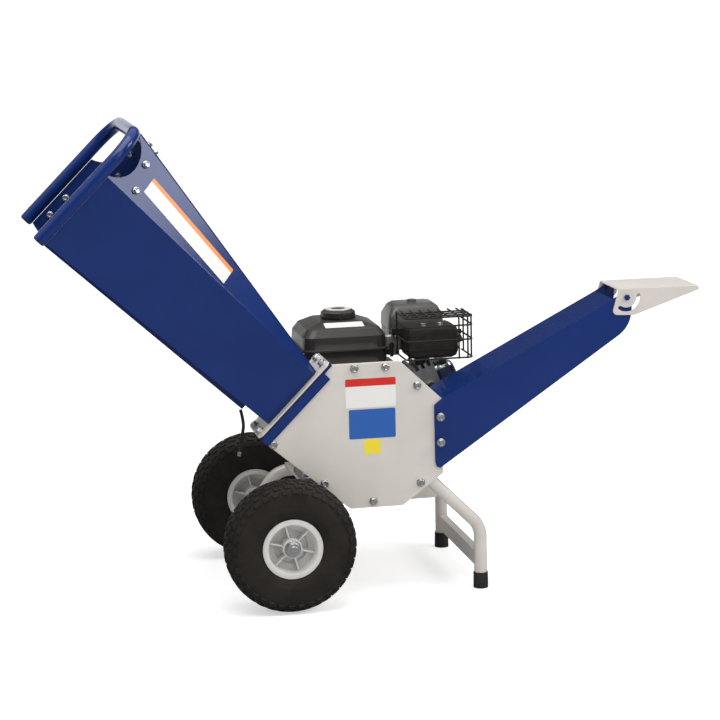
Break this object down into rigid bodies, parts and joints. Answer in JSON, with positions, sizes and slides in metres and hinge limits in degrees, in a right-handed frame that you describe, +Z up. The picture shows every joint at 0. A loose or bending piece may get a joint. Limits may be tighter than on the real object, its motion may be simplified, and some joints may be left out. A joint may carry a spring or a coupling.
{
  "type": "garden shredder",
  "caption": "Petrol garden shredder with a wide feed hopper, drum housing, engine on a wheeled tube frame, and a long discharge chute with a tilting deflector.",
  "frame": {"origin": "on the ground, under the middle of the machine's bounding box", "axes": "+X from the hopper towards the discharge chute, +Y from the drum housing towards the engine's recoil starter, +Z up"},
  "size_m": [1.3166, 0.5786, 0.953],
  "materials": {
    "silver_paint": "satin powder coat",
    "blue_paint": "gloss powder coat",
    "tyre_rubber": "matte",
    "grey_plastic": "satin",
    "soft_rubber": "matte",
    "zinc_steel": "zinc plated",
    "bare_steel": "machined",
    "cast_aluminium": "as cast",
    "black_paint": "semi-gloss heat-resistant paint",
    "black_plastic": "satin"
  },
  "bodies": {
    "machine": {"axle": "zinc_steel", "axle_beam": "silver_paint", "frame_tube_far": "silver_paint", "leg_tube_near": "silver_paint", "wheel_strut_near": "silver_paint", "leg_crossbar": "silver_paint", "engine_platform": "silver_paint", "foot_near": "soft_rubber", "foot_far": "soft_rubber", "side_plate_near": "silver_paint", "side_plate_far": "silver_paint", "housing_band_lower": "silver_paint", "housing_band_upper": "silver_paint", "counter_knife": "bare_steel", "inlet_frame": "blue_paint", "flange_gasket": "soft_rubber", "hopper_flange": "silver_paint", "hopper_body": "blue_paint", "hopper_top_plate": "blue_paint", "hopper_handle": "blue_paint", "tether_cord": "soft_rubber", "chute_body": "blue_paint", "crankcase": "cast_aluminium", "crankcase_cover": "cast_aluminium", "ignition_coil": "black_plastic", "cylinder_head": "cast_aluminium", "rocker_cover": "black_paint", "spark_plug": "zinc_steel", "spark_plug_cap": "soft_rubber", "fan_shroud": "black_plastic", "recoil_cover": "black_plastic", "fuel_tank": "black_plastic", "tank_bracket": "black_paint", "carburettor": "cast_aluminium", "air_cleaner_base": "black_plastic", "air_cleaner_cover": "black_plastic", "air_filter": "soft_rubber", "muffler": "black_paint", "muffler_guard": "black_paint"},
    "wheel_near": {"tyre_near": "tyre_rubber", "rim_near": "grey_plastic"},
    "wheel_far": {"tyre_far": "tyre_rubber", "rim_far": "grey_plastic"},
    "rotor": {"crankshaft": "bare_steel", "rotor_drum": "bare_steel", "knife_a": "zinc_steel", "knife_b": "zinc_steel", "rotor_bolt": "zinc_steel", "flywheel": "cast_aluminium"},
    "deflector": {"deflector": "silver_paint"},
    "lock_knob": {"lock_knob": "black_plastic"},
    "rubber_curtain": {"rubber_curtain": "soft_rubber"},
    "fuel_cap": {"fuel_cap": "black_plastic"},
    "choke_lever": {"choke_lever": "black_plastic"},
    "fuel_valve_lever": {"fuel_valve_lever": "black_plastic"},
    "throttle_lever": {"throttle_lever": "black_plastic"},
    "engine_switch": {"engine_switch": "black_plastic"},
    "oil_filler_cap": {"oil_filler_cap": "black_plastic"},
    "starter_grip": {"starter_grip": "soft_rubber"},
    "starter_reel": {"starter_reel": "black_plastic"}
  },
  "joints": [
    {"name": "wheel_near_spin", "type": "hinge", "parent": "machine", "child": "wheel_near", "pos_m": [-0.18708, -0.20869, 0.13], "axis": [0, 1, 0], "continuous": true},
    {"name": "wheel_far_spin", "type": "hinge", "parent": "machine", "child": "wheel_far", "pos_m": [-0.18708, 0.24331, 0.13], "axis": [0, 1, 0], "continuous": true},
    {"name": "rotor_spin", "type": "hinge", "parent": "machine", "child": "rotor", "pos_m": [-0.03708, 0.01731, 0.312], "axis": [0, 1, 0], "continuous": true},
    {"name": "deflector_tilt", "type": "hinge", "parent": "machine", "child": "deflector", "pos_m": [0.50792, -0.10819, 0.57498], "axis": [0, 1, 0], "range_deg": [-25, 88]},
    {"name": "lock_knob_turn", "type": "hinge", "parent": "machine", "child": "lock_knob", "pos_m": [0.50579, -0.04529, 0.55057], "axis": [0, 1, 0], "range_deg": [0, 360]},
    {"name": "curtain_swing", "type": "hinge", "parent": "machine", "child": "rubber_curtain", "pos_m": [-0.20605, -0.10819, 0.5641], "axis": [0, 1, 0], "range_deg": [-25, 40], "stiffness_Nm_per_rad": 3},
    {"name": "fuel_cap_turn", "type": "hinge", "parent": "machine", "child": "fuel_cap", "pos_m": [-0.02108, 0.10531, 0.5208], "axis": [0, 0, 1], "range_deg": [0, 90]},
    {"name": "choke_swing", "type": "hinge", "parent": "machine", "child": "choke_lever", "pos_m": [0.08692, 0.08431, 0.484], "axis": [0, 0, 1], "range_deg": [-50, 25]},
    {"name": "fuel_valve_swing", "type": "hinge", "parent": "machine", "child": "fuel_valve_lever", "pos_m": [0.08092, 0.06531, 0.464], "axis": [0, 1, 0], "range_deg": [-90, 0]},
    {"name": "throttle_swing", "type": "hinge", "parent": "machine", "child": "throttle_lever", "pos_m": [0.0675, 0.15131, 0.4158], "axis": [-0.1458, 0, 0.9893], "range_deg": [-25, 25]},
    {"name": "engine_switch_turn", "type": "hinge", "parent": "machine", "child": "engine_switch", "pos_m": [0.0918, 0.17331, 0.36407], "axis": [0, 1, 0], "range_deg": [0, 45]},
    {"name": "oil_filler_cap_turn", "type": "hinge", "parent": "machine", "child": "oil_filler_cap", "pos_m": [-0.10908, 0.06731, 0.246], "axis": [1, 0, 0], "range_deg": [0, 360]},
    {"name": "starter_pull", "type": "slide", "parent": "machine", "child": "starter_grip", "axis": [-0.8, 0, 0.6], "range_m": [0, 0.45], "stiffness_N_per_m": 30, "springref_m": -0.2},
    {"name": "starter_reel_spin", "type": "hinge", "parent": "machine", "child": "starter_reel", "pos_m": [-0.03708, 0.18761, 0.312], "axis": [0, 1, 0], "range_deg": [-760, 0]}
  ],
  "couplings": [
    {"joint": "starter_reel_spin", "follows": "starter_pull", "rad_per_m": -29.412}
  ]
}
